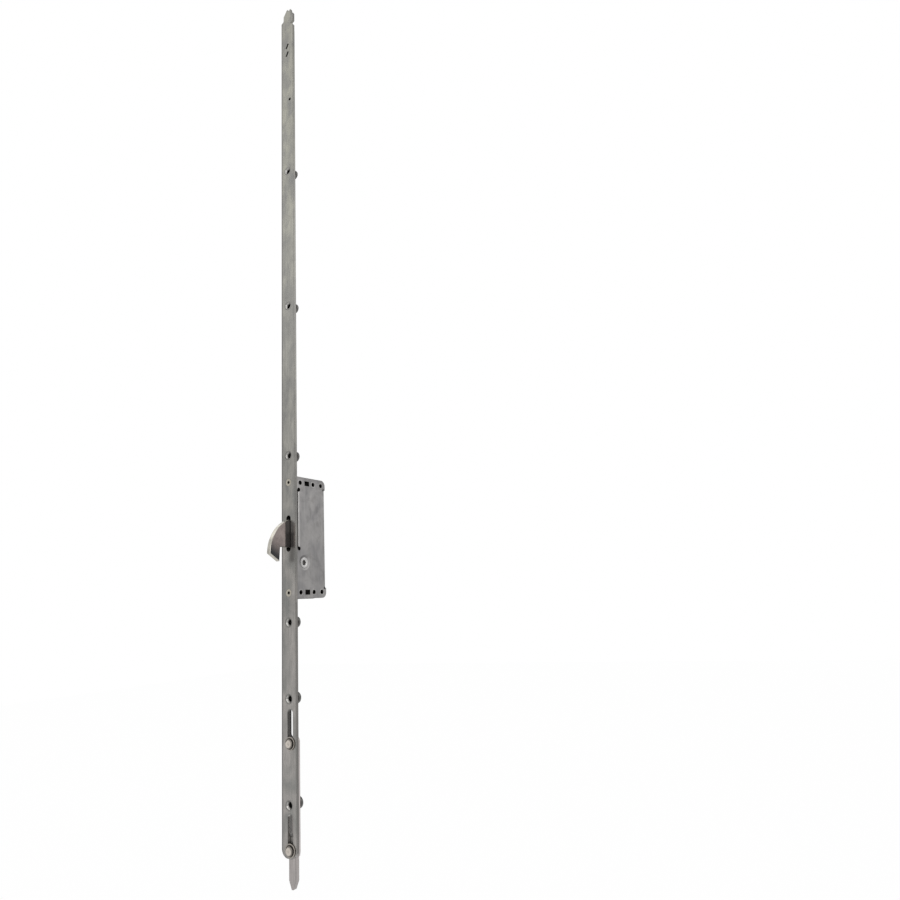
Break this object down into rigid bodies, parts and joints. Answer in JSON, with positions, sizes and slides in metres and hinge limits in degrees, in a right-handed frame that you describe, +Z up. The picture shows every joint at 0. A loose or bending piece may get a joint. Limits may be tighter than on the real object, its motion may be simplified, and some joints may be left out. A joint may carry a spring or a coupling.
{
  "type": "multipoint hook lock",
  "caption": "Long flat faceplate lock with a swinging hook bolt in a side case, a sliding drive rod behind the plate and a pointed shoot bolt at the lower end.",
  "frame": {"origin": "on the faceplate's rear face, which lies in the door's groove, in the middle of the four evenly spaced fixing screws", "axes": "+Z up along the faceplate, -Y out of the faceplate's front, +Y back into the door, X across the faceplate; drawn locked, with the hook and the shoot bolt out"},
  "size_m": [0.02, 0.079, 1.0325],
  "materials": {
    "plated_strip": "satin zinc plate with fine lengthwise rolling streaks",
    "plated_rod": "satin zinc plate, sheared edges",
    "plated_bolt": "satin zinc plate, machined point",
    "hook_steel": "bright nickel plate on a ground steel blade",
    "case_sheet": "dull zinc-plated pressed sheet",
    "case_block": "zinc-plated steel block",
    "rivet": "zinc-plated hollow rivet",
    "screw": "yellowish passivated screw",
    "cam_button": "polished pale zinc, turned face",
    "stud": "bright turned zinc-plated bush",
    "pivot_steel": "bright turned steel",
    "inner_steel": "oiled plain steel"
  },
  "bodies": {
    "case": {"faceplate": "plated_strip", "guide_stud_1": "stud", "guide_stud_2": "stud", "guide_stud_3": "stud", "guide_stud_4": "stud", "guide_stud_5": "stud", "guide_stud_6": "stud", "case_cover_right": "case_sheet", "case_cover_left": "case_sheet", "case_block_top": "case_block", "case_block_bottom": "case_block", "case_rivets_top": "rivet", "case_rivets_bottom": "rivet", "case_screw_top": "screw", "case_screw_bottom": "screw", "pivot_sleeve": "pivot_steel", "pivot_rivet": "pivot_steel", "hook_washer_right": "pivot_steel", "hook_washer_left": "pivot_steel"},
    "rod": {"drive_rod": "plated_rod", "shoot_bolt": "plated_bolt", "cam_button_upper": "cam_button", "cam_button_lower": "cam_button", "drive_plate_right": "inner_steel", "drive_plate_left": "inner_steel", "drive_pin": "inner_steel"},
    "hook": {"hook": "hook_steel"}
  },
  "joints": [
    {"name": "rod_slide", "type": "slide", "parent": "case", "child": "rod", "axis": [0, 0, 1], "range_m": [0, 0.025]},
    {"name": "hook_swing", "type": "hinge", "parent": "case", "child": "hook", "pos_m": [0, 0.0135, -0.208], "axis": [-1, 0, 0], "range_deg": [0, 58]}
  ],
  "couplings": [
    {"joint": "hook_swing", "follows": "rod_slide", "rad_per_m": 40.492}
  ]
}
